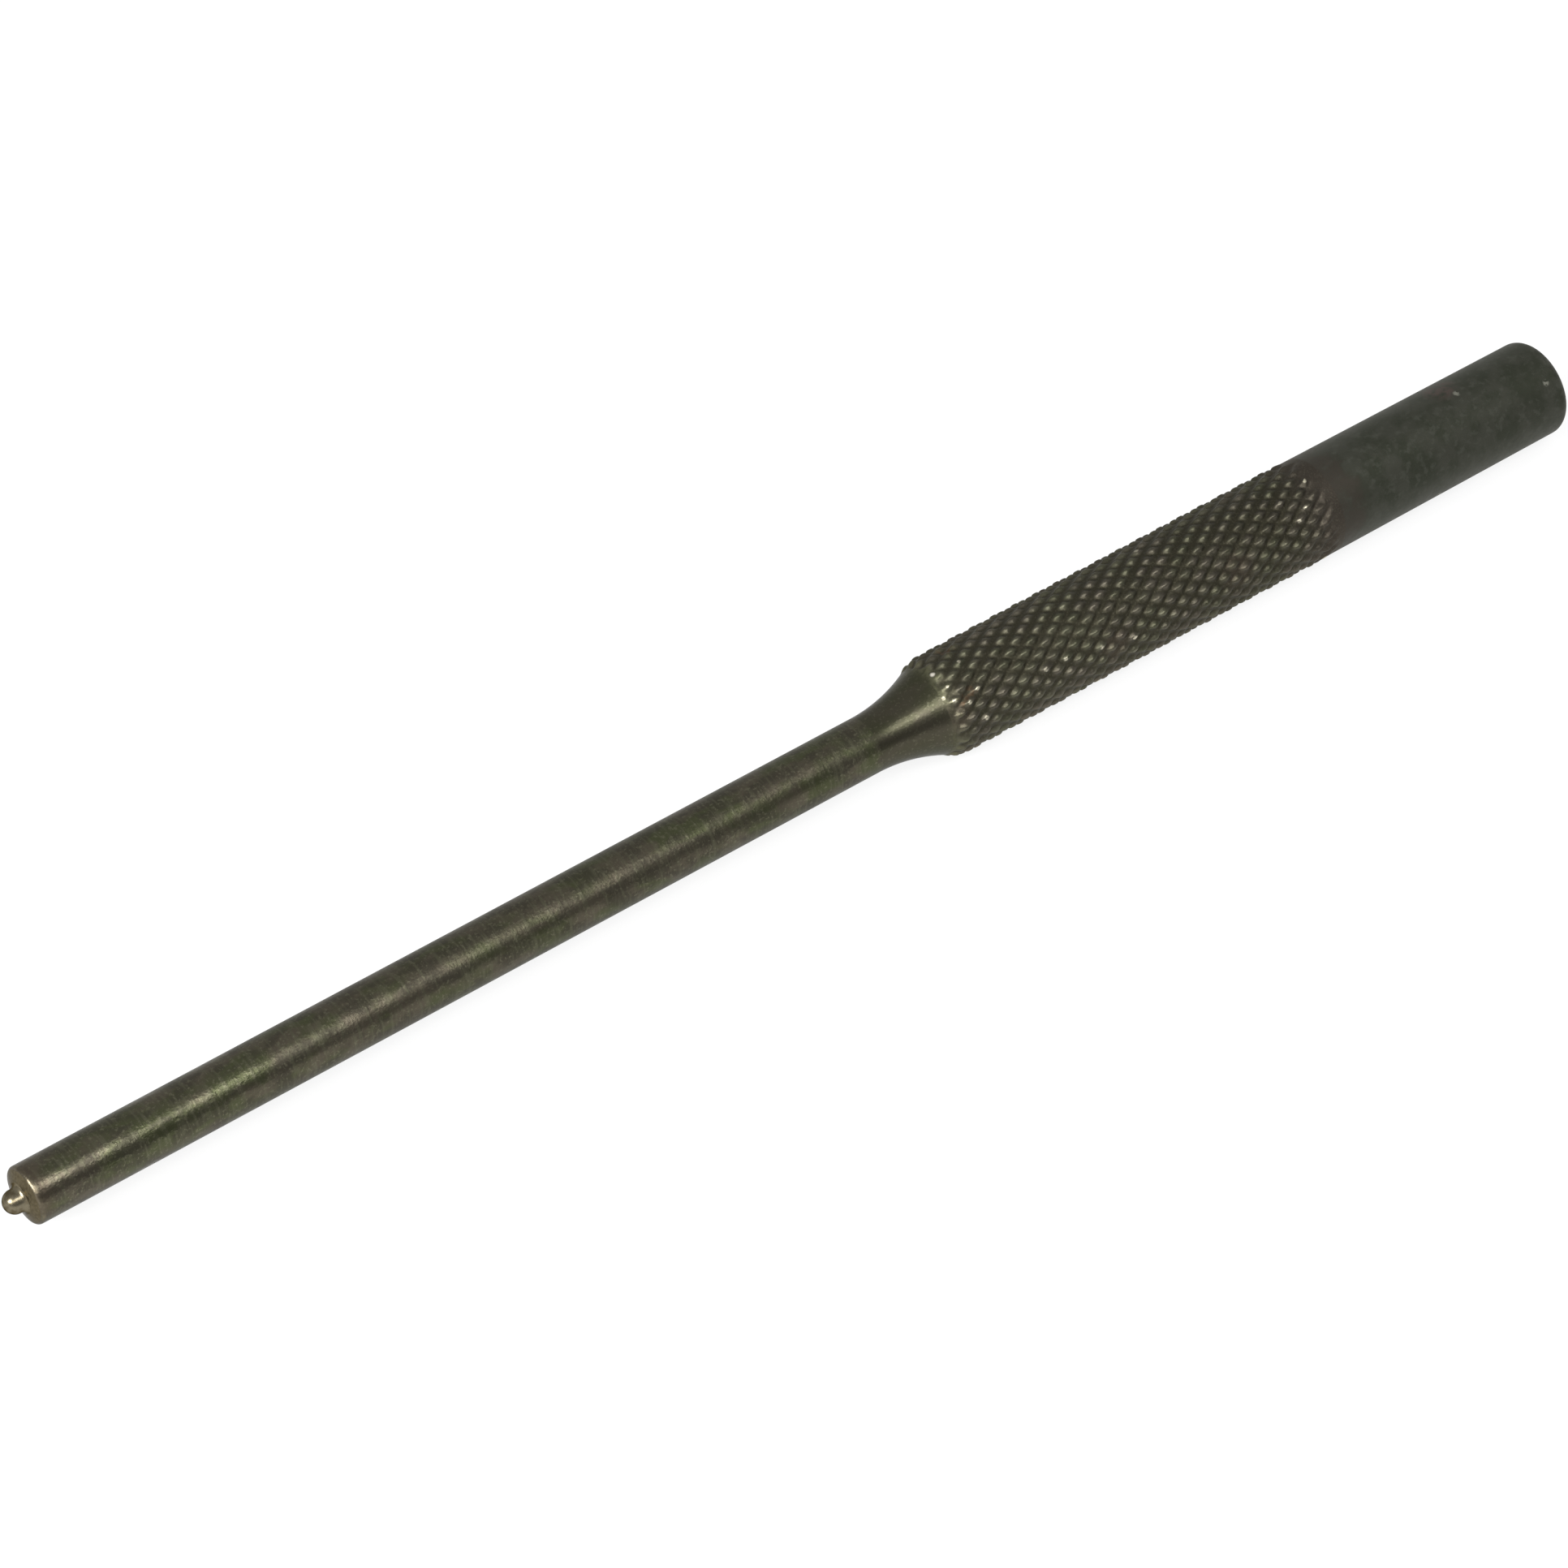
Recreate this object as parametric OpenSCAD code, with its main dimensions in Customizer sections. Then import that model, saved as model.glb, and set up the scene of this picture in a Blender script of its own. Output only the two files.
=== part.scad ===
// Roll pin punch, turned from one round bar of tool steel.
// Its axis is the X axis, with the nub at -X and the striking face at +X. The
// origin is where the straight shank ends and the shoulder starts to rise, which
// is how far a drilled block or a holder takes the shank in.
// The turned sections of the bar are drawn one by one, and meet face to face.

/* [Bar] */
// Diameter of the bar that the punch is turned from
bar_d = 6.32; // [5:0.02:8]

/* [Nub] */
// Length of the nub in front of the working face
nub_l = 1.1; // [1.08:0.02:2.5]
// Radius of the nub's round end
nub_end_r = 0.73; // [0.4:0.01:0.75]
// Radius of the hollow at the nub's root
nub_root_r = 0.36; // [0.1:0.01:0.38]

/* [Shank] */
// Diameter of the shank, which follows the pin into its hole
shank_d = 3.6; // [2.8:0.02:4.6]
// Length of the straight shank, from the nub's root to the shoulder
shank_l = 59.26; // [30:0.02:70]
// Angle at which the working face falls back from the nub to its edge
face_slope = 18; // [2:1:25]
// Radius of the broken edge round the working face
shank_edge_r = 0.25; // [0.04:0.01:0.4]

/* [Shoulder] */
// Radius of the hollow curve that rises from the shank
shoulder_r = 12; // [6:0.5:20]
// Radius of the rounded corner where that curve runs out on the bar
corner_r = 0.6; // [0.4:0.1:2]
// Length by which the knurl starts down on the hollow curve
knurl_lead = 0.8; // [0.2:0.1:1.2]

/* [Knurl] */
// Length of the knurled grip, from its start on the hollow curve to the head
knurl_l = 30.5; // [15:0.1:40]
// Number of grooves round the bar in each direction
knurl_starts = 20; // [12:1:26]
// Length of one diamond along the bar
knurl_pitch = 1.65; // [1.3:0.05:3]
// Depth of the grooves below the bar's surface
knurl_cut = 0.12; // [0.04:0.01:0.3]
// Height that rolling raises the diamonds above the bar's surface
knurl_rise = 0.06; // [0.01:0.01:0.12]
// Share of a diamond, from its middle to its corners, that is flat on top
flat_share = 0.4; // [0.1:0.05:0.8]

/* [Head] */
// Length of the plain head behind the knurl
head_l = 18.82; // [8:0.02:40]
// Amount by which the head is thinner at its striking face
head_taper = 0.12; // [0:0.02:0.4]
// Radius of the rounded edge round the striking face
head_edge_r = 0.66; // [0.2:0.02:1.5]

/* [Hidden] */
$fn = 96;

bar_r = bar_d / 2;
shank_r = shank_d / 2;
crest_r = bar_r + knurl_rise;

// Where the hollow at the nub's root starts, and where it runs out on the face
hollow_z = nub_l - nub_root_r * cos(face_slope);
root_r = nub_end_r + nub_root_r * (1 - sin(face_slope));

// Centre of the broken edge, which touches the sloping face and the shank's side
edge_r = shank_r - shank_edge_r;
edge_z = (edge_r - root_r) * tan(face_slope) + shank_edge_r / cos(face_slope);

// Slope at which the hollow curve and the rounded corner touch each other
blend_slope = acos((shank_r + shoulder_r + corner_r - bar_r) / (shoulder_r + corner_r));
shoulder_l = shoulder_r * sin(blend_slope) - knurl_lead;
corner_l = corner_r * sin(blend_slope);
head_end_r = bar_r - head_taper / 2;

// The knurl is a lattice of rows half a diamond apart, and of columns half a
// groove apart. Grooves cross where row and column are both even or both odd,
// and a diamond stands at every other place. The first and last rows are
// plain, and the pattern reaches its full depth over a few rows.
knurl_rows = round(2 * knurl_l / knurl_pitch);
knurl_cols = 2 * knurl_starts;
row_step = knurl_l / knurl_rows;
col_step = 360 / knurl_cols;
fade_rows = 2;

// Radius of the hollow curve at a distance from its start
function curve_r(z) = shank_r + shoulder_r - sqrt(shoulder_r * shoulder_r - z * z);

// Lays a section that is drawn upright along X, with its foot at the given place
module along_bar(place) {
    translate([place, 0, 0]) rotate([0, 90, 0]) children();
}

// Round nub that enters the hollow end of the pin and centres the punch on it
module tip_nub() {
    along_bar(-shank_l - nub_l) color([0.62, 0.58, 0.5]) rotate_extrude() {
        intersection() {
            translate([0, nub_end_r]) circle(nub_end_r);
            square(nub_end_r);
        }
        translate([0, nub_end_r]) square([nub_end_r, hollow_z - nub_end_r]);
        // Root that spreads on to the working face
        difference() {
            translate([0, hollow_z]) square([nub_end_r + nub_root_r, nub_l - hollow_z]);
            translate([nub_end_r + nub_root_r, hollow_z]) circle(nub_root_r);
        }
    }
}

// Straight shank with the working face round the nub
module shank() {
    along_bar(-shank_l) color([0.29, 0.28, 0.21]) rotate_extrude() {
        translate([0, edge_z]) square([shank_r, shank_l - edge_z]);
        polygon([
            [0, 0],
            [root_r, 0],
            [
                edge_r + shank_edge_r * sin(face_slope),
                edge_z - shank_edge_r * cos(face_slope),
            ],
            [edge_r, edge_z],
            [0, edge_z],
        ]);
        translate([edge_r, edge_z]) circle(shank_edge_r);
    }
}

// Hollow curve that rises from the shank towards the bar
module shoulder() {
    along_bar(0) color([0.31, 0.3, 0.22]) rotate_extrude() difference() {
        square([curve_r(shoulder_l), shoulder_l]);
        translate([shank_r + shoulder_r, 0]) circle(shoulder_r, $fn = 4 * $fn);
    }
}

// Radius of the plain bar under the knurl, which starts on the hollow curve and
// runs over the rounded corner
function corner_at(z) =
    bar_r - corner_r + sqrt(corner_r * corner_r - (corner_l - z) * (corner_l - z));
function plain_r(z) =
    z < knurl_lead ? curve_r(shoulder_l + z)
    : z < knurl_lead + corner_l ? corner_at(z - knurl_lead)
    : bar_r;

// Share of the full knurl at a row: none at the ends, all past the fade
function fade_share(row) = min(1, min(row, knurl_rows - row) / fade_rows);

function crest_at(row) = plain_r(row * row_step) + knurl_rise * fade_share(row);
function groove_at(row) = plain_r(row * row_step) - knurl_cut * fade_share(row);
function on_bar(r, row, col) = [
    r * cos(col * col_step),
    r * sin(col * col_step),
    row * row_step,
];

// Column of the nth groove crossing, and of the nth diamond, in a row
function crossing_col(row, n) = 2 * n + row % 2;
function diamond_col(row, n) = 2 * n + (row + 1) % 2;

// Place in the list of points of a groove crossing, of a point of a plain end
// row, and of a corner of a diamond's flat top
function crossing_id(row, col) =
    row * knurl_starts + ((col + knurl_cols) % knurl_cols - row % 2) / 2;
function end_id(end, n) = (knurl_rows + 1 + end) * knurl_starts + n;
function top_id(row, n, corner) =
    (knurl_rows + 3) * knurl_starts + 4 * ((row - 1) * knurl_starts + n) + corner;

// Rolled diamond knurl: two sets of helical grooves that cross all round the bar
module knurled_grip() {
    last = knurl_starts - 1;
    points = [
        for (row = [0:knurl_rows], n = [0:last])
            on_bar(groove_at(row), row, crossing_col(row, n)),
        for (row = [0, knurl_rows], n = [0:last])
            on_bar(crest_at(row), row, diamond_col(row, n)),
        for (row = [1:knurl_rows - 1], n = [0:last], side = [0:3])
            let (
                along = [-1, 0, 1, 0][side] * flat_share,
                round = [0, 1, 0, -1][side] * flat_share
            )
            on_bar(crest_at(row), row + along, diamond_col(row, n) + round),
    ];
    // Flat top and four flanks of each diamond
    diamonds = [
        for (row = [1:knurl_rows - 1], n = [0:last])
            let (
                col = diamond_col(row, n),
                top = [for (corner = [0:3]) top_id(row, n, corner)],
                foot = [
                    crossing_id(row - 1, col),
                    crossing_id(row, col + 1),
                    crossing_id(row + 1, col),
                    crossing_id(row, col - 1),
                ]
            )
            each concat(
                [[top[0], top[2], top[1]], [top[0], top[3], top[2]]],
                [for (a = [0:3]) [foot[a], top[(a + 1) % 4], foot[(a + 1) % 4]]],
                [for (a = [0:3]) [foot[a], top[a], top[(a + 1) % 4]]]
            ),
    ];
    // Half diamonds that close the pattern against the plain end rows
    front_rim = [
        for (n = [0:last])
            let (col = diamond_col(0, n), inner = crossing_id(1, col))
            each [
                [crossing_id(0, col - 1), inner, end_id(0, n)],
                [end_id(0, n), inner, crossing_id(0, col + 1)],
            ],
    ];
    back_rim = [
        for (n = [0:last])
            let (
                col = diamond_col(knurl_rows, n),
                inner = crossing_id(knurl_rows - 1, col)
            )
            each [
                [crossing_id(knurl_rows, col - 1), end_id(1, n), inner],
                [end_id(1, n), crossing_id(knurl_rows, col + 1), inner],
            ],
    ];
    front_face = [
        for (n = [0:last])
            each [crossing_id(0, 2 * n), end_id(0, n)],
    ];
    back_ring = [
        for (n = [0:last])
            each [crossing_id(knurl_rows, diamond_col(knurl_rows, n) - 1), end_id(1, n)],
    ];
    back_face = [for (n = [2 * last + 1:-1:0]) back_ring[n]];
    along_bar(shoulder_l) color([0.24, 0.23, 0.18])
        polyhedron(points, concat(diamonds, front_rim, back_rim, [front_face, back_face]));
}

// Plain head behind the knurl, with the rounded edge of the striking face
module striking_head() {
    along_bar(shoulder_l + knurl_l) color([0.23, 0.24, 0.21]) rotate_extrude() {
        polygon([
            [0, 0],
            [bar_r, 0],
            [head_end_r, head_l - head_edge_r],
            [head_end_r - head_edge_r, head_l],
            [0, head_l],
        ]);
        translate([head_end_r - head_edge_r, head_l - head_edge_r]) circle(head_edge_r);
    }
}

tip_nub();
shank();
shoulder();
knurled_grip();
striking_head();
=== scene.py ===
import math

import bpy
import numpy as np
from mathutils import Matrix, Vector


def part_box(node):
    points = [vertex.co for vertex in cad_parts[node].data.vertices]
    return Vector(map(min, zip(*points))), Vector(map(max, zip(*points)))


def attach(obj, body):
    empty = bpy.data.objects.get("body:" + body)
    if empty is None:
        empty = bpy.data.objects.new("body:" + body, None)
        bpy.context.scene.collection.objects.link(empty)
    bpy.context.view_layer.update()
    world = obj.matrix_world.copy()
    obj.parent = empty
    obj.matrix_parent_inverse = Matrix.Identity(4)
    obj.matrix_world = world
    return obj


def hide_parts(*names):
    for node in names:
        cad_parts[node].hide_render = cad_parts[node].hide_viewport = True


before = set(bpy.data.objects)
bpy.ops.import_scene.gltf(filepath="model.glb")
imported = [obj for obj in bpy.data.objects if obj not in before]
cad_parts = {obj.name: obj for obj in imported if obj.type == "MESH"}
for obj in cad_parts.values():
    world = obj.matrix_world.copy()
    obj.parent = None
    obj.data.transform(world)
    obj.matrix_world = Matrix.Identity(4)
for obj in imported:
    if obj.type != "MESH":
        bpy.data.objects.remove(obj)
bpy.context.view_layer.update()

MM = 0.001

# Sizes of the turned bar, in metres, read from the CAD sections
NUB_LOW, NUB_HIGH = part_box("tip_nub")
SHANK_LOW, SHANK_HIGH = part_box("shank")
SHOULDER_LOW, SHOULDER_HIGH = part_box("shoulder")
KNURL_LOW, KNURL_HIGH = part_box("knurled_grip")
HEAD_LOW, HEAD_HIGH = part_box("striking_head")
AXIS_Z = (SHANK_LOW.z + SHANK_HIGH.z) / 2
MIDDLE_X = (NUB_LOW.x + HEAD_HIGH.x) / 2
FLOOR_Z = KNURL_LOW.z
SHANK_R = (SHANK_HIGH.y - SHANK_LOW.y) / 2
BAR_R = (HEAD_HIGH.y - HEAD_LOW.y) / 2
CREST_R = (KNURL_HIGH.y - KNURL_LOW.y) / 2

# Small radii and tapers, which the boxes don't tell. They are the solids' own
NUB_END_R = 0.73 * MM
NUB_ROOT_R = 0.36 * MM
FACE_SLOPE = math.radians(18)
SHANK_EDGE_R = 0.25 * MM
SHOULDER_R = 12 * MM
CORNER_R = 0.6 * MM
HEAD_TAPER = 0.12 * MM
HEAD_EDGE_R = 0.66 * MM

# Points round each section, and rings of points along the knurl
NUB_SIDES = 120
SHANK_SIDES = 160
SHOULDER_SIDES = 200
KNURL_SIDES = 440
KNURL_RINGS = 440
HEAD_SIDES = 200

# The rolled knurl. Its two sets of grooves wind opposite ways, and each has as many
# grooves as there are starts, its own spacing along the bar, and its own phase underneath,
# where the knurl starts
KNURL_STARTS = 20
KNURL_ROWS = 37
GROOVE_CUT = 0.14 * MM
FIRST_LENGTH = 1.612 * MM
SECOND_LENGTH = 1.665 * MM
FIRST_PHASE = 0.73
SECOND_PHASE = 0.41

# Depth of each set of grooves as a share of the cut, how much it varies, and the share
# of the way from a groove to the next diamond's middle that its flank takes up
FIRST_DEPTH = 1.05
SECOND_DEPTH = 0.8
DEPTH_SPREAD = 0.2
FLANK_SHARE = 0.86

# Height of the diamonds as a share of the solid's, how much it varies from diamond to
# diamond, and how far the grooves wander, as a share of the way between two of them
CREST_SHARE = 1.25
CREST_SPREAD = 0.15
WANDER = 0.03

# Stretches over which the knurl fades in and out, by the distance from its ends, the rims
# that are plain at the ends themselves, and how far raggedness moves the fading
START_FADE = (-0.1 * MM, 0.8 * MM)
START_RIM = 0.3 * MM
FIRST_END_FADE = (0.4 * MM, 1.3 * MM)
SECOND_END_FADE = (0.7 * MM, 1.9 * MM)
END_RIM = 0.4 * MM
COARSE_RAGGED = 0.25 * MM
FINE_RAGGED = 0.2 * MM
SECOND_RAGGED_SHARE = 1.6

# The painted highlight along the corner where the knurl starts, by the distance of its middle
# from the knurl's start, and its width
PAINTED_CORNER_MIDDLE = 0.5 * MM
PAINTED_CORNER_WIDTH = 0.45 * MM

# The noise repeats after this many lumps, and the shift keeps the planes between lumps
# off the bar's axis
NOISE_SIDE = 24
NOISE_SHIFT = 7.3

# Points nearer to each other than this are one point
TOUCHING = 1e-9


def eased(share):
    """The share, from 0 to 1, with a gentle start and end."""
    return share * share * (3 - 2 * share)


def smooth_step(value, low, high):
    """0 up to low, 1 from high on, and a gentle rise between them."""
    return eased(np.clip((value - low) / (high - low), 0, 1))


def soft_noise(points, size, seed):
    """Smooth noise from -1 to 1 at each of the points, with lumps of the given size."""
    lattice = np.random.default_rng(seed).uniform(-1, 1, (NOISE_SIDE, NOISE_SIDE, NOISE_SIDE))
    place = points / size + NOISE_SHIFT
    cell = np.floor(place).astype(int)
    share = eased(place - cell)
    total = np.zeros(len(points))
    for corner in np.ndindex(2, 2, 2):
        weight = np.ones(len(points))
        for axis in range(3):
            weight *= share[:, axis] if corner[axis] else 1 - share[:, axis]
        index = (cell + corner) % NOISE_SIDE
        total += weight * lattice[index[:, 0], index[:, 1], index[:, 2]]
    return total


# Turned pieces

def arc(centre_x, centre_r, radius, start, end, steps):
    """Points of an arc in the plane of x and r, by angles from the +x direction in radians."""
    return [
        (centre_x + radius * math.cos(a), centre_r + radius * math.sin(a))
        for a in np.linspace(start, end, steps)
    ]


def straight(start, end, steps):
    """Points from start to end, evenly spaced, in the plane of x and r."""
    return [tuple(p) for p in np.linspace(start, end, steps)]


def without_repeats(profile):
    """The profile without points that lie on the one before them."""
    kept = [profile[0]]
    for point in profile[1:]:
        if math.dist(point, kept[-1]) > TOUCHING:
            kept.append(point)
    return kept


def turns(sides):
    """Angles of the points round a section, in radians.

    They count from its underside by way of its far side, so the top is at half a turn.
    """
    return np.linspace(0, 2 * math.pi, sides, endpoint=False)


def turned_piece(name, profile, sides, shape=None, sharp_angle=35):
    """A closed body of revolution round the bar's axis, from a profile of points (x, r).

    The profile's two ends are closed by flat caps, or by a single point where r is zero.
    shape(x, r, turn) may return new radii, for what isn't the same all round. Edges
    sharper than sharp_angle, in degrees, show as edges.
    """
    profile = np.array(without_repeats(profile))
    open_start = profile[0, 1] > TOUCHING
    open_end = profile[-1, 1] > TOUCHING
    first = 0 if open_start else 1
    last = len(profile) if open_end else len(profile) - 1
    rings = profile[first:last]
    x = np.repeat(rings[:, 0], sides)
    r = np.repeat(rings[:, 1], sides)
    turn = np.tile(turns(sides), len(rings))
    if shape:
        r = shape(x, r, turn)
    points = np.column_stack([x, r * np.sin(turn), AXIS_Z - r * np.cos(turn)]).tolist()
    here = np.arange(sides)
    ahead = (here + 1) % sides
    faces = []
    for row in range(len(rings) - 1):
        low = row * sides
        high = low + sides
        faces += np.column_stack([low + here, high + here, high + ahead, low + ahead]).tolist()
    last_ring = (len(rings) - 1) * sides
    if open_start:
        faces.append(here.tolist())
    else:
        points.append((profile[0, 0], 0, AXIS_Z))
        faces += [[len(points) - 1, a, b] for a, b in zip(here, ahead)]
    if open_end:
        faces.append((last_ring + here[::-1]).tolist())
    else:
        points.append((profile[-1, 0], 0, AXIS_Z))
        faces += [[len(points) - 1, last_ring + b, last_ring + a] for a, b in zip(here, ahead)]
    mesh = bpy.data.meshes.new(name)
    mesh.from_pydata(points, [], faces)
    mesh.update()
    mesh.shade_smooth()
    mesh.set_sharp_from_angle(angle=math.radians(sharp_angle))
    piece = bpy.data.objects.new(name, mesh)
    bpy.context.scene.collection.objects.link(piece)
    return piece


def put_on_bar(piece, node, material):
    """Rides the piece on the bar in place of its CAD section, with its material."""
    piece.data.materials.append(material)
    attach(piece, "root")
    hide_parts(node)


def add_values(piece, name, values):
    """Stores one number for each point of the piece, for its material to read."""
    attribute = piece.data.attributes.new(name, "FLOAT", "POINT")
    attribute.data.foreach_set("value", np.asarray(values, np.float32))


def places_on_bar(piece):
    """The place along the bar and the distance from its axis of each point of the piece."""
    points = np.zeros(3 * len(piece.data.vertices))
    piece.data.vertices.foreach_get("co", points)
    points = points.reshape(-1, 3)
    return points[:, 0], np.hypot(points[:, 1], points[:, 2] - AXIS_Z)


def add_corner(piece):
    """Stores how near each point is to the corner where the knurl starts, for the painted
    highlight there.
    """
    x, _ = places_on_bar(piece)
    from_corner = x - KNURL_LOW.x - PAINTED_CORNER_MIDDLE
    add_values(piece, "corner", np.exp(-(from_corner / PAINTED_CORNER_WIDTH) ** 2))


def make_nub():
    end_x = NUB_LOW.x + NUB_END_R
    hollow_x = NUB_HIGH.x - NUB_ROOT_R * math.cos(FACE_SLOPE)
    hollow_r = NUB_END_R + NUB_ROOT_R
    profile = arc(end_x, 0, NUB_END_R, math.pi, math.pi / 2, steps=30)
    profile += straight((end_x, NUB_END_R), (hollow_x, NUB_END_R), steps=3)
    profile += arc(hollow_x, hollow_r, NUB_ROOT_R, -math.pi / 2, -FACE_SLOPE, steps=20)
    return turned_piece("nub", profile, NUB_SIDES)


def make_shank():
    """The straight shank, with its sloping face, whose middle the nub hides."""
    start, end = SHANK_LOW.x, SHANK_HIGH.x
    root_r = NUB_END_R + NUB_ROOT_R * (1 - math.sin(FACE_SLOPE))
    hidden_r = 0.4 * root_r
    edge_r = SHANK_R - SHANK_EDGE_R
    edge_x = start + (edge_r - root_r) * math.tan(FACE_SLOPE)
    edge_x += SHANK_EDGE_R / math.cos(FACE_SLOPE)
    fine_end_x = edge_x + 1 * MM
    rim = arc(edge_x, edge_r, SHANK_EDGE_R, math.pi - FACE_SLOPE, math.pi / 2, steps=14)
    profile = straight((start, hidden_r), (start, root_r), steps=3)
    profile += straight((start, root_r), rim[0], steps=24)
    profile += rim
    profile += straight((edge_x, SHANK_R), (fine_end_x, SHANK_R), steps=16)
    profile += straight((fine_end_x, SHANK_R), (end, SHANK_R), steps=240)
    piece = turned_piece("shank_bar", profile, SHANK_SIDES)
    x, r = places_on_bar(piece)
    face_end_x = rim[2][0]
    worn_x, worn_r = rim[8]
    from_worn = np.hypot(x - worn_x, r - worn_r)
    add_values(piece, "face", (x < face_end_x).astype(float))
    add_values(piece, "rim", 1 - smooth_step(from_worn, 0.06 * MM, 0.2 * MM))
    add_values(piece, "near_tip", 1 - smooth_step(x - edge_x, 0.2 * MM, 1.2 * MM))
    # Read by the shank's material, for painted light towards the tip and for its roughness
    add_values(piece, "front_half", 1 - smooth_step(x - edge_x, 2 * MM, 28 * MM))
    return piece


def make_shoulder():
    start, end = SHOULDER_LOW.x, SHOULDER_HIGH.x
    foot = -math.pi / 2
    slope = math.asin((end - start) / SHOULDER_R)
    profile = arc(start, SHANK_R + SHOULDER_R, SHOULDER_R, foot, foot + slope, steps=60)
    piece = turned_piece("shoulder_curve", profile, SHOULDER_SIDES)
    add_corner(piece)
    return piece


def make_head():
    start, end = HEAD_LOW.x, HEAD_HIGH.x
    end_r = BAR_R - HEAD_TAPER / 2
    edge_x, edge_r = end - HEAD_EDGE_R, end_r - HEAD_EDGE_R
    profile = straight((start, BAR_R), (edge_x, end_r), steps=120)
    profile += arc(edge_x, edge_r, HEAD_EDGE_R, math.pi / 2, 0, steps=16)
    profile += straight((end, edge_r), (end, 0.0), steps=12)
    piece = turned_piece("head", profile, HEAD_SIDES)
    x, r = places_on_bar(piece)
    worn_x = end - 0.3 * HEAD_EDGE_R
    from_rim = np.hypot(np.maximum(worn_x - x, 0), np.maximum(edge_r - r, 0))
    add_values(piece, "from_knurl", (x - start) / (end - start))
    add_values(piece, "rim", 1 - smooth_step(from_rim, 0.0, 0.6 * MM))
    return piece


# Knurl

def plain_radius(x):
    """Radius of the bar under the knurl, which starts on the shoulder's hollow curve."""
    along = x - SHOULDER_LOW.x
    curve = SHANK_R + SHOULDER_R - np.sqrt(SHOULDER_R ** 2 - np.minimum(along, SHOULDER_R) ** 2)
    slope = math.acos((SHANK_R + SHOULDER_R + CORNER_R - BAR_R) / (SHOULDER_R + CORNER_R))
    touch = SHOULDER_R * math.sin(slope)
    corner_end = touch + CORNER_R * math.sin(slope)
    to_end = np.clip(corner_end - along, 0, CORNER_R)
    corner = BAR_R - CORNER_R + np.sqrt(CORNER_R ** 2 - to_end ** 2)
    return np.where(along < touch, curve, corner)


def left_by_grooves(place, depth, start, end):
    """What one set of grooves leaves, from 0 in a groove to 1 between two of them.

    A groove runs at each whole number of place. start and end fade the set at its ends.
    """
    from_groove = 2 * np.abs(place - np.round(place))
    cut = (1 - smooth_step(from_groove, 0, FLANK_SHARE)) * depth * start * end
    return np.clip(1 - cut, 0, 1)


def knurl_fields(x, turn):
    """Height of the rolled pattern, from 0 in a groove to 1 on a diamond, and its fading.

    Also gives two numbers of each diamond's own, from -1 to 1.
    """
    places = np.column_stack([x, BAR_R * np.sin(turn), -BAR_R * np.cos(turn)])
    wander = WANDER * soft_noise(places, size=2.4 * MM, seed=3)
    round_bar = KNURL_STARTS * turn / (2 * math.pi) + wander
    along = x - KNURL_LOW.x
    to_end = KNURL_HIGH.x - x
    first = round_bar + along / FIRST_LENGTH + FIRST_PHASE
    second = round_bar - along / SECOND_LENGTH + SECOND_PHASE
    first_depth = FIRST_DEPTH + DEPTH_SPREAD * soft_noise(places, size=1.5 * MM, seed=4)
    second_depth = SECOND_DEPTH + DEPTH_SPREAD * soft_noise(places, size=1.5 * MM, seed=5)
    ragged = COARSE_RAGGED * soft_noise(places, size=0.9 * MM, seed=6)
    ragged += FINE_RAGGED * soft_noise(places, size=0.4 * MM, seed=7)
    start = smooth_step(x + ragged, KNURL_LOW.x + START_FADE[0], KNURL_LOW.x + START_FADE[1])
    start *= smooth_step(x, KNURL_LOW.x, KNURL_LOW.x + START_RIM)
    end_rim = smooth_step(to_end, 0, END_RIM)
    first_end = smooth_step(to_end + ragged, *FIRST_END_FADE) * end_rim
    second_end = smooth_step(to_end + SECOND_RAGGED_SHARE * ragged, *SECOND_END_FADE) * end_rim
    height = left_by_grooves(first, first_depth, start, first_end)
    height *= left_by_grooves(second, second_depth, start, second_end)
    # More rows than the knurl has, so that no two of its diamonds share their numbers
    rows = 3 * KNURL_ROWS
    column = np.mod(np.floor(first), KNURL_STARTS).astype(int)
    row = np.mod(np.floor(first) - np.floor(second), rows).astype(int)
    own = np.random.default_rng(seed=11).uniform(-1, 1, (2, rows, KNURL_STARTS))
    return height, start * first_end, own[0][row, column], own[1][row, column]


def knurl_shape(x, r, turn):
    """Radius of the knurl, cut into the bar and raised above it."""
    height, fade, own, _ = knurl_fields(x, turn)
    raised = (CREST_R - BAR_R) * fade * height ** 2 * (CREST_SHARE + CREST_SPREAD * own)
    return r - GROOVE_CUT * (1 - height) + raised


def make_knurl():
    ring_x = np.linspace(KNURL_LOW.x, KNURL_HIGH.x, KNURL_RINGS)
    profile = list(zip(ring_x, plain_radius(ring_x)))
    piece = turned_piece("knurl", profile, KNURL_SIDES, knurl_shape, sharp_angle=50)
    add_corner(piece)
    x = np.repeat(ring_x, KNURL_SIDES)
    height, fade, _, rub = knurl_fields(x, np.tile(turns(KNURL_SIDES), KNURL_RINGS))
    add_values(piece, "crest", height)
    add_values(piece, "fade", fade)
    add_values(piece, "from_front", (x - KNURL_LOW.x) / (KNURL_HIGH.x - KNURL_LOW.x))
    add_values(piece, "own", 0.5 + 0.5 * rub)
    return piece


# Marks placed one by one

# Share of a mark's size within which it has its full strength
MARK_CORE = 0.35


def on_knurl(along, turn, size):
    """A mark on the knurl's diamonds, as its x, its angle, its radius and its size.

    It is placed by its distance from the knurl's start and by its angle from the
    underside, in degrees.
    """
    x = KNURL_LOW.x + along
    rise = (CREST_R - BAR_R) * min(1, along / START_FADE[1])
    return x, turn, float(plain_radius(x)) + rise, size


def on_head(along, turn, size):
    """A mark on the head, placed in the same way from the head's start."""
    return HEAD_LOW.x + along, turn, BAR_R, size


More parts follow.
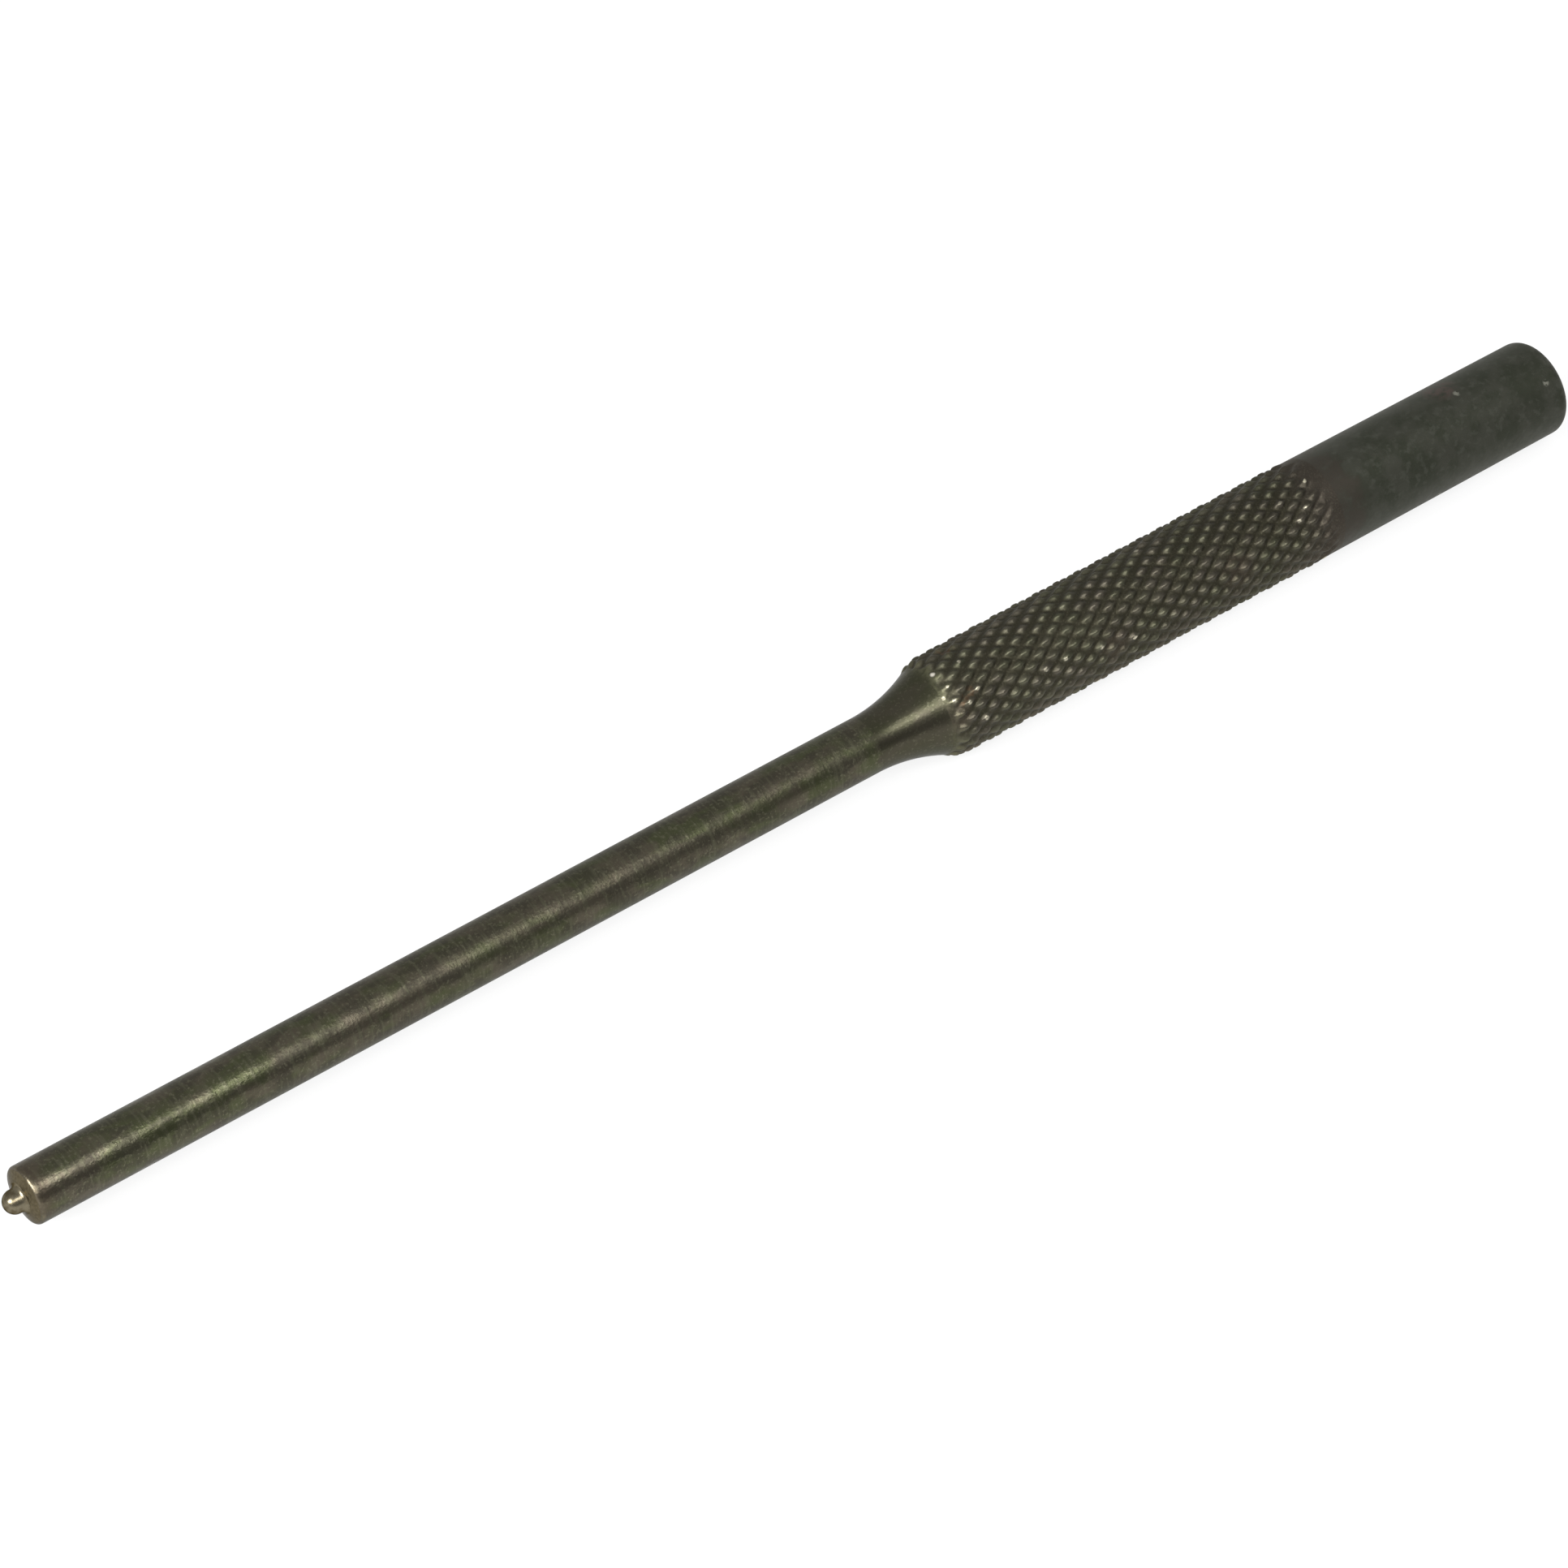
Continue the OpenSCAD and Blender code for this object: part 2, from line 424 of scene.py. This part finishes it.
RUST_MARKS = [
    on_knurl(1.1 * MM, 229, 0.6 * MM),
    on_knurl(1.8 * MM, 224, 0.6 * MM),
    on_knurl(2.3 * MM, 161, 0.8 * MM),
]
BROWN_MARKS = [
    on_knurl(0.4 * MM, 244, 1.2 * MM),
    on_knurl(12.3 * MM, 256, 1.4 * MM),
    on_knurl(22 * MM, 245, 1.6 * MM),
]
# Spots rubbed bare on the diamonds, which also stand in for glints as painted highlights
GLINT_AND_RUBBED_MARKS = [
    on_knurl(0.1 * MM, 215, 0.16 * MM),
    on_knurl(0.55 * MM, 223.6, 0.2 * MM),
    on_knurl(0.6 * MM, 206, 0.13 * MM),
    on_knurl(1.35 * MM, 232.5, 0.19 * MM),
    on_knurl(2.2 * MM, 187.3, 0.16 * MM),
    on_knurl(2.2 * MM, 258, 0.2 * MM),
    on_knurl(7.0 * MM, 241, 0.2 * MM),
    on_knurl(8.5 * MM, 241, 0.2 * MM),
    on_knurl(11.2 * MM, 249, 0.2 * MM),
    on_knurl(27.3 * MM, 229, 0.2 * MM),
    on_knurl(28.1 * MM, 218, 0.2 * MM),
]
# A painted glint, near white, on one diamond
PAINTED_GLINT_MARKS = [on_knurl(0.45 * MM, 182, 0.22 * MM)]
HEAD_BROWN_MARKS = [
    on_head(11.1 * MM, 163, 1.5 * MM),
    on_head(6 * MM, 20, 1.4 * MM),
]
HEAD_NICKS = [
    on_head(11.6 * MM, 183, 0.3 * MM),
    on_head(17.4 * MM, 223, 0.3 * MM),
    on_head(8.2 * MM, 300, 0.28 * MM),
    on_head(14.5 * MM, 90, 0.3 * MM),
]


# Materials

class Metal:
    """A metal material whose nodes are added by calls. Sizes are in metres.

    Tones are linear colours, and edge_tint dulls the metal where it is seen edge on.
    """

    def __init__(self, name, metallic, edge_tint):
        self.material = bpy.data.materials.new(name)
        self.material.use_nodes = True
        self.nodes = self.material.node_tree.nodes
        self.links = self.material.node_tree.links
        self.shader = self.nodes["Principled BSDF"]
        self.shader.inputs["Metallic"].default_value = metallic
        self.shader.inputs["Specular Tint"].default_value = (edge_tint, edge_tint, edge_tint, 1)
        self.place = self.nodes.new("ShaderNodeTexCoord").outputs["Object"]

    def put(self, value, socket):
        """Links an output to the socket, or sets the socket to a number or colour."""
        if isinstance(value, bpy.types.NodeSocket):
            self.links.new(value, socket)
        elif isinstance(value, tuple):
            socket.default_value = (*value, 1)
        else:
            socket.default_value = value

    def noise(self, size, detail=2.0, stretch=(1, 1, 1), rough=0.5):
        """Noise round 0.5 with lumps of the given size, stretched along x, y and z."""
        scaled = self.nodes.new("ShaderNodeMapping")
        scaled.inputs["Scale"].default_value = [1 / (size * s) for s in stretch]
        self.links.new(self.place, scaled.inputs["Vector"])
        noise = self.nodes.new("ShaderNodeTexNoise")
        noise.inputs["Scale"].default_value = 1
        noise.inputs["Detail"].default_value = detail
        noise.inputs["Roughness"].default_value = rough
        self.links.new(scaled.outputs["Vector"], noise.inputs["Vector"])
        return noise.outputs["Fac"]

    def attribute(self, name):
        """The number that add_values stored under the name."""
        found = self.nodes.new("ShaderNodeAttribute")
        found.attribute_name = name
        return found.outputs["Fac"]

    def ramp(self, value, low, high, to_low=0.0, to_high=1.0):
        """The value, from low to high, taken smoothly from to_low to to_high."""
        mapped = self.nodes.new("ShaderNodeMapRange")
        mapped.interpolation_type = "SMOOTHSTEP"
        self.put(value, mapped.inputs["Value"])
        mapped.inputs["From Min"].default_value = low
        mapped.inputs["From Max"].default_value = high
        self.put(to_low, mapped.inputs["To Min"])
        self.put(to_high, mapped.inputs["To Max"])
        return mapped.outputs["Result"]

    def combine(self, operation, a, b):
        combined = self.nodes.new("ShaderNodeMath")
        combined.operation = operation
        self.put(a, combined.inputs[0])
        self.put(b, combined.inputs[1])
        return combined.outputs["Value"]

    def times(self, a, b):
        return self.combine("MULTIPLY", a, b)

    def plus(self, a, b):
        return self.combine("ADD", a, b)

    def larger(self, a, b):
        return self.combine("MAXIMUM", a, b)

    def mix(self, share, a, b, blend="MIX"):
        """Tone a, with tone b in its place by the share."""
        mixed = self.nodes.new("ShaderNodeMix")
        mixed.data_type = "RGBA"
        mixed.blend_type = blend
        self.put(share, mixed.inputs["Factor"])
        self.put(a, mixed.inputs["A"])
        self.put(b, mixed.inputs["B"])
        return mixed.outputs["Result"]

    def scaled(self, tone, factor):
        """The tone, lighter or darker by a factor."""
        return self.mix(1.0, tone, (factor, factor, factor), "MULTIPLY")

    def painted_edge_sheen(self, tone, edge_sheen_tone, share, low=0.25, high=0.85):
        """The tone, with a share of a lighter one painted where the surface is seen edge on: a
        painted sheen.
        """
        away = self.nodes.new("ShaderNodeLayerWeight").outputs["Facing"]
        return self.mix(self.ramp(away, low, high, to_high=share), tone, edge_sheen_tone)

    def mark(self, x, turn, radius, size):
        """1 at a place on the bar, and 0 further from it than size."""
        turn = math.radians(turn)
        centre = (x, radius * math.sin(turn), AXIS_Z - radius * math.cos(turn))
        distance = self.nodes.new("ShaderNodeVectorMath")
        distance.operation = "DISTANCE"
        self.links.new(self.place, distance.inputs[0])
        distance.inputs[1].default_value = centre
        return self.ramp(distance.outputs["Value"], MARK_CORE * size, size, 1, 0)

    def marks(self, places):
        total = 0.0
        for place in places:
            total = self.larger(total, self.mark(*place))
        return total

    def bump(self, height, distance, strength):
        """Bumps the surface, on top of the bumps that it has."""
        bump = self.nodes.new("ShaderNodeBump")
        bump.inputs["Distance"].default_value = distance
        bump.inputs["Strength"].default_value = strength
        self.put(height, bump.inputs["Height"])
        if self.shader.inputs["Normal"].links:
            self.put(self.shader.inputs["Normal"].links[0].from_socket, bump.inputs["Normal"])
        self.put(bump.outputs["Normal"], self.shader.inputs["Normal"])

    def finish(self, tone, roughness):
        self.put(tone, self.shader.inputs["Base Color"])
        self.put(roughness, self.shader.inputs["Roughness"])
        return self.material


def nub_metal():
    """Bare steel, worn bright over fine turning rings."""
    dark = (0.12, 0.098, 0.06)
    light = (0.2, 0.175, 0.12)
    metal = Metal("bare_steel", metallic=1, edge_tint=0.35)
    patches = metal.noise(0.4 * MM, detail=3)
    tone = metal.mix(metal.ramp(patches, 0.35, 0.65), dark, light)
    rings = metal.noise(0.04 * MM, stretch=(1, 30, 30))
    metal.bump(rings, distance=0.004 * MM, strength=0.5)
    metal.bump(patches, distance=0.012 * MM, strength=0.5)
    return metal.finish(tone, metal.ramp(patches, 0.3, 0.7, 0.21, 0.29))


def shank_metal():
    """Olive and brown oxide over turning rings, with rubbed flecks.

    The face and the end next to it are browner, and the rim is worn. Painted light makes it
    lighter towards the tip, and a painted sheen lightens it where it is seen edge on.
    """
    olive = (0.075, 0.08, 0.043)
    brown = (0.096, 0.084, 0.061)
    dark = (0.056, 0.051, 0.038)
    ring_tone = (0.118, 0.116, 0.076)
    fleck = (0.17, 0.164, 0.11)
    tip_brown = (0.12, 0.092, 0.066)
    edge_sheen_tone = (0.175, 0.17, 0.148)
    face_dark = (0.1, 0.082, 0.048)
    face_light = (0.135, 0.112, 0.067)
    worn_steel = (0.22, 0.188, 0.128)
    painted_tip_light_gain = 1.13
    metal = Metal("oxide_shank", metallic=1, edge_tint=0.6)
    patches = metal.noise(0.9 * MM, detail=4, stretch=(2.2, 1, 1), rough=0.55)
    clouds = metal.noise(2.0 * MM, detail=3, stretch=(1.6, 1, 1))
    tone = metal.mix(metal.ramp(clouds, 0.42, 0.58), olive, brown)
    tone = metal.mix(metal.ramp(patches, 0.42, 0.6, to_high=0.75), tone, dark)
    rings = metal.noise(0.28 * MM, detail=3, stretch=(1, 7, 7), rough=0.6)
    tone = metal.mix(metal.ramp(rings, 0.48, 0.66, to_high=0.5), tone, ring_tone)
    grain = metal.noise(0.17 * MM, detail=3)
    tone = metal.mix(metal.ramp(grain, 0.54, 0.7, to_high=0.5), tone, fleck)
    front_half = metal.attribute("front_half")
    # Painted light: the tone is made lighter towards the tip
    tone = metal.mix(front_half, tone, metal.scaled(tone, painted_tip_light_gain))
    tone = metal.mix(metal.times(metal.attribute("near_tip"), 0.4), tone, tip_brown)
    # Painted sheen: lighter where the surface is seen edge on
    tone = metal.painted_edge_sheen(tone, edge_sheen_tone, share=0.45)
    face = metal.mix(metal.ramp(grain, 0.35, 0.65), face_dark, face_light)
    tone = metal.mix(metal.attribute("face"), tone, face)
    patchy_share = metal.ramp(metal.noise(0.6 * MM), 0.4, 0.62, 0.05, 0.55)
    tone = metal.mix(metal.times(metal.attribute("rim"), patchy_share), tone, worn_steel)
    metal.bump(rings, distance=0.02 * MM, strength=0.6)
    metal.bump(grain, distance=0.021 * MM, strength=0.7)
    metal.bump(patches, distance=0.05 * MM, strength=0.7)
    duller_rear = metal.ramp(front_half, 0, 1, 0.08, 0)
    return metal.finish(tone, metal.plus(metal.ramp(patches, 0.3, 0.7, 0.26, 0.38), duller_rear))


def shoulder_tone(metal):
    """The patches of the shoulder's dark oxide, and their tone.

    It runs on between the knurl's first diamonds.
    """
    olive = (0.059, 0.059, 0.036)
    brown = (0.075, 0.068, 0.049)
    patches = metal.noise(1.8 * MM, detail=4, stretch=(2, 1, 1), rough=0.6)
    return patches, metal.mix(metal.ramp(patches, 0.36, 0.64), olive, brown)


def painted_corner_highlight(metal, tone, share):
    """The tone, with a painted highlight in patches, by the share, round the corner where the
    knurl starts.
    """
    # Tone of the painted highlight along the corner
    glint_and_rub = (0.14, 0.137, 0.083)
    patchy_share = metal.ramp(metal.noise(0.3 * MM, detail=3), 0.35, 0.65, 0.2, 0.9)
    patchy_share = metal.times(patchy_share, metal.times(metal.attribute("corner"), share))
    return metal.mix(patchy_share, tone, glint_and_rub)


def shoulder_metal():
    """Dark oxide with rubbed flecks, a painted highlight along the corner, and a painted sheen
    where seen edge on.
    """
    fleck = (0.14, 0.135, 0.092)
    edge_sheen_tone = (0.16, 0.155, 0.135)
    metal = Metal("oxide_shoulder", metallic=1, edge_tint=0.6)
    patches, tone = shoulder_tone(metal)
    grain = metal.noise(0.17 * MM, detail=3)
    tone = metal.mix(metal.ramp(grain, 0.54, 0.7, to_high=0.45), tone, fleck)
    # Painted highlight round the corner where the knurl starts
    tone = painted_corner_highlight(metal, tone, 1.0)
    # Painted sheen: lighter where the surface is seen edge on
    tone = metal.painted_edge_sheen(tone, edge_sheen_tone, share=0.4)
    metal.bump(grain, distance=0.012 * MM, strength=0.7)
    metal.bump(patches, distance=0.03 * MM, strength=0.5)
    return metal.finish(tone, metal.ramp(grain, 0.4, 0.65, 0.32, 0.29))


def knurl_metal():
    """Dark grooves, and diamonds that are each of their own lightness.

    They grow darker and more matt towards the head. A few are rusty, and a few are rubbed bare,
    which also stands in for glints as painted highlights. One has a painted glint, the corner
    where the knurl starts a painted highlight, and it has a painted sheen where it is seen edge
    on.
    """
    dim = (0.086, 0.085, 0.056)
    dim_brown = (0.088, 0.08, 0.061)
    lit = (0.117, 0.114, 0.078)
    lit_brown = (0.12, 0.107, 0.083)
    groove_tone = (0.05, 0.046, 0.031)
    end_tone = (0.064, 0.055, 0.044)
    fleck = (0.16, 0.15, 0.11)
    rust = (0.1, 0.066, 0.04)
    brown = (0.1, 0.073, 0.06)
    edge_sheen_tone = (0.16, 0.155, 0.13)
    glint_and_rubbed_steel = (0.6, 0.56, 0.43)
    painted_glint_tone = (1, 0.94, 0.82)
    rear_gain = 0.87
    metal = Metal("oxide_knurl", metallic=1, edge_tint=0.6)
    crest = metal.attribute("crest")
    own = metal.attribute("own")
    fade = metal.attribute("fade")
    from_front = metal.attribute("from_front")
    grain = metal.noise(0.12 * MM, detail=3)
    clouds = metal.ramp(metal.noise(2.6 * MM, detail=3), 0.4, 0.6)
    dimmest = metal.mix(clouds, dim, dim_brown)
    lightest = metal.mix(clouds, lit, lit_brown)
    top = metal.mix(metal.ramp(own, 0, 0.95), dimmest, lightest)
    tone = metal.mix(metal.ramp(crest, 0, 0.8), groove_tone, top)
    tone = metal.mix(metal.ramp(fade, 0.1, 0.8), shoulder_tone(metal)[1], tone)
    # Painted highlight round the corner where the knurl starts
    tone = painted_corner_highlight(metal, tone, crest)
    tone = metal.mix(metal.ramp(from_front, 0.25, 0.75), tone, metal.scaled(tone, rear_gain))
    tone = metal.mix(metal.ramp(from_front, 0.88, 0.975), tone, end_tone)
    tone = metal.mix(metal.ramp(grain, 0.5, 0.8, to_high=0.4), tone, fleck)
    ragged = metal.ramp(metal.noise(0.3 * MM, detail=3), 0.4, 0.6, to_high=0.8)
    tone = metal.mix(metal.times(metal.marks(RUST_MARKS), ragged), tone, rust)
    tone = metal.mix(metal.times(metal.marks(BROWN_MARKS), 0.25), tone, brown)
    # Painted sheen: lighter where the surface is seen edge on
    tone = metal.painted_edge_sheen(tone, edge_sheen_tone, share=0.4, low=0.3, high=0.9)
    # Random diamonds and the listed spots rubbed bare, partly wear and partly painted glints
    few = metal.times(metal.ramp(own, 0.965, 0.98), metal.ramp(crest, 0.9, 0.98))
    few = metal.times(few, metal.ramp(fade, 0.8, 1))
    glint_and_rub = metal.times(metal.marks(GLINT_AND_RUBBED_MARKS), metal.ramp(grain, 0.38, 0.6, 0.3, 1))
    tone = metal.mix(metal.larger(few, glint_and_rub), tone, glint_and_rubbed_steel)
    # Painted glint, near white
    tone = metal.mix(metal.marks(PAINTED_GLINT_MARKS), tone, painted_glint_tone)
    metal.bump(grain, distance=0.02 * MM, strength=0.6)
    roughness = metal.ramp(crest, 0.2, 0.9, 0.5, 0.41)
    matt_end = metal.ramp(from_front, 0.9, 0.975, 0.3, 0.56)
    return metal.finish(tone, metal.larger(roughness, matt_end))


def head_metal():
    """Matt black oxide with paler blots, browner next to the knurl, worn at the rim, and with a
    painted sheen where seen edge on.
    """
    dark = (0.037, 0.0405, 0.0285)
    light = (0.052, 0.0535, 0.0415)
    blot = (0.076, 0.079, 0.064)
    band = (0.054, 0.046, 0.037)
    brown = (0.08, 0.06, 0.052)
    worn_oxide = (0.13, 0.13, 0.108)
    edge_sheen_tone = (0.12, 0.12, 0.1)
    nick = (0.2, 0.2, 0.165)
    metal = Metal("oxide_head", metallic=0.85, edge_tint=0.8)
    patches = metal.noise(1.6 * MM, detail=4, rough=0.6)
    tone = metal.mix(metal.ramp(patches, 0.38, 0.62), dark, light)
    blots = metal.noise(0.5 * MM, detail=3, rough=0.6)
    tone = metal.mix(metal.ramp(blots, 0.5, 0.68, to_high=0.5), tone, blot)
    uneven = metal.ramp(patches, 0.3, 0.7, -0.07, 0.07)
    from_knurl = metal.plus(metal.attribute("from_knurl"), uneven)
    tone = metal.mix(metal.ramp(from_knurl, 0.0, 0.13, 0.8, 0), tone, band)
    ragged = metal.ramp(metal.noise(0.5 * MM, detail=3), 0.3, 0.6)
    tone = metal.mix(metal.times(metal.marks(HEAD_BROWN_MARKS), ragged), tone, brown)
    patchy_share = metal.ramp(metal.noise(0.8 * MM, detail=3), 0.4, 0.65, 0.05, 0.5)
    tone = metal.mix(metal.times(metal.attribute("rim"), patchy_share), tone, worn_oxide)
    # Painted sheen: lighter where the surface is seen edge on
    tone = metal.painted_edge_sheen(tone, edge_sheen_tone, share=0.42)
    chipped = metal.ramp(metal.noise(0.24 * MM), 0.36, 0.54)
    tone = metal.mix(metal.times(metal.marks(HEAD_NICKS), chipped), tone, nick)
    metal.bump(blots, distance=0.02 * MM, strength=0.6)
    metal.bump(patches, distance=0.03 * MM, strength=0.4)
    return metal.finish(tone, metal.ramp(blots, 0.3, 0.7, 0.56, 0.66))


# Camera, with its lens and sensor in millimetres

CAMERA_ELEVATION = math.radians(42.84)
CAMERA_AZIMUTH = math.radians(38.25)
CAMERA_DISTANCE = 391.3 * MM
CAMERA_LENS = 153.24
CAMERA_SENSOR = 36.0
AIM = Vector((MIDDLE_X - 2.07 * MM, 0.87 * MM, AXIS_Z - 0.645 * MM))


def make_camera():
    away = Vector((
        -math.cos(CAMERA_ELEVATION) * math.sin(CAMERA_AZIMUTH),
        -math.cos(CAMERA_ELEVATION) * math.cos(CAMERA_AZIMUTH),
        math.sin(CAMERA_ELEVATION),
    ))
    data = bpy.data.cameras.new("camera")
    data.lens = CAMERA_LENS
    data.sensor_width = CAMERA_SENSOR
    data.sensor_fit = "HORIZONTAL"
    data.clip_start = 10 * MM
    camera = bpy.data.objects.new("camera", data)
    camera.location = AIM + CAMERA_DISTANCE * away
    camera.rotation_euler = (-away).to_track_quat("-Z", "Y").to_euler()
    bpy.context.scene.collection.objects.link(camera)
    bpy.context.scene.camera = camera


# Light and floor

# The floor throws light like a plain pale one. What is seen of it glows nearly white,
# and also takes a little of the light, which keeps the shadow
FLOOR_HALF = 3.0
FLOOR_PALE = (0.8, 0.8, 0.8)
FLOOR_ROUGHNESS = 0.9
FLOOR_SHADED = (0.15, 0.15, 0.15)
FLOOR_GLOW = 0.86

# Strength of the studio's light in front and behind, and the directions along y between
# which it goes from one to the other
FRONT_LIGHT = 0.3
REAR_LIGHT = 0.62
FRONT_Y = -0.9
REAR_Y = 0.1


def make_lamp(name, place, target, width, height, power):
    """An area lamp that faces a target, with its power in watts.

    Both places count from the middle of the punch.
    """
    data = bpy.data.lights.new(name, "AREA")
    data.shape = "RECTANGLE"
    data.size = width
    data.size_y = height
    data.energy = power
    lamp = bpy.data.objects.new(name, data)
    lamp.location = Vector((MIDDLE_X, 0, AXIS_Z)) + Vector(place)
    facing = Vector(target) - Vector(place)
    lamp.rotation_euler = facing.to_track_quat("-Z", "Y").to_euler()
    bpy.context.scene.collection.objects.link(lamp)


def seen_rays(nodes, links):
    """1 for what the camera sees, straight, mirrored or through glass, and else 0."""
    rays = nodes.new("ShaderNodeLightPath")
    total = rays.outputs["Is Camera Ray"]
    for kind in ("Is Glossy Ray", "Is Transmission Ray"):
        larger = nodes.new("ShaderNodeMath")
        larger.operation = "MAXIMUM"
        links.new(total, larger.inputs[0])
        links.new(rays.outputs[kind], larger.inputs[1])
        total = larger.outputs["Value"]
    return total


def make_floor():
    """A white floor, which keeps a soft shadow of the punch."""
    mesh = bpy.data.meshes.new("floor")
    sides = (-FLOOR_HALF, FLOOR_HALF)
    corners = [(x, y, FLOOR_Z) for y in sides for x in sides]
    mesh.from_pydata(corners, [], [(0, 1, 3, 2)])
    floor = bpy.data.objects.new("floor", mesh)
    bpy.context.scene.collection.objects.link(floor)
    material = bpy.data.materials.new("floor_white")
    material.use_nodes = True
    nodes, links = material.node_tree.nodes, material.node_tree.links
    plain = nodes["Principled BSDF"]
    plain.inputs["Base Color"].default_value = (*FLOOR_PALE, 1)
    plain.inputs["Roughness"].default_value = FLOOR_ROUGHNESS
    shaded = nodes.new("ShaderNodeBsdfDiffuse")
    shaded.inputs["Color"].default_value = (*FLOOR_SHADED, 1)
    glow = nodes.new("ShaderNodeEmission")
    glow.inputs["Strength"].default_value = FLOOR_GLOW
    white = nodes.new("ShaderNodeAddShader")
    links.new(shaded.outputs["BSDF"], white.inputs[0])
    links.new(glow.outputs["Emission"], white.inputs[1])
    choice = nodes.new("ShaderNodeMixShader")
    links.new(seen_rays(nodes, links), choice.inputs["Fac"])
    links.new(plain.outputs["BSDF"], choice.inputs[1])
    links.new(white.outputs["Shader"], choice.inputs[2])
    links.new(choice.outputs["Shader"], nodes["Material Output"].inputs["Surface"])
    mesh.materials.append(material)


def make_world():
    """A soft studio: bright overhead and behind, and dimmer low down in front."""
    world = bpy.data.worlds.new("studio")
    bpy.context.scene.world = world
    world.use_nodes = True
    nodes, links = world.node_tree.nodes, world.node_tree.links
    direction = nodes.new("ShaderNodeSeparateXYZ")
    links.new(nodes.new("ShaderNodeTexCoord").outputs["Generated"], direction.inputs["Vector"])
    level = nodes.new("ShaderNodeMapRange")
    level.interpolation_type = "SMOOTHSTEP"
    level.inputs["From Min"].default_value = FRONT_Y
    level.inputs["From Max"].default_value = REAR_Y
    level.inputs["To Min"].default_value = FRONT_LIGHT
    level.inputs["To Max"].default_value = REAR_LIGHT
    links.new(direction.outputs["Y"], level.inputs["Value"])
    links.new(level.outputs["Result"], nodes["Background"].inputs["Strength"])
    nodes["Background"].inputs["Color"].default_value = (1, 1, 1, 1)


make_camera()
make_lamp(
    "key",
    place=(-0.14, -0.273, 0.4),
    target=(-0.14, 0, 0),
    width=0.62,
    height=0.14,
    power=1.9,
)
make_lamp(
    "left",
    place=(-0.6, -0.07, 0.4),
    target=(-0.05, 0, 0),
    width=0.32,
    height=0.28,
    power=5.8,
)
make_floor()
make_world()

put_on_bar(make_nub(), "tip_nub", nub_metal())
put_on_bar(make_shank(), "shank", shank_metal())
put_on_bar(make_shoulder(), "shoulder", shoulder_metal())
put_on_bar(make_knurl(), "knurled_grip", knurl_metal())
put_on_bar(make_head(), "striking_head", head_metal())

bpy.context.scene.view_settings.view_transform = "Standard"
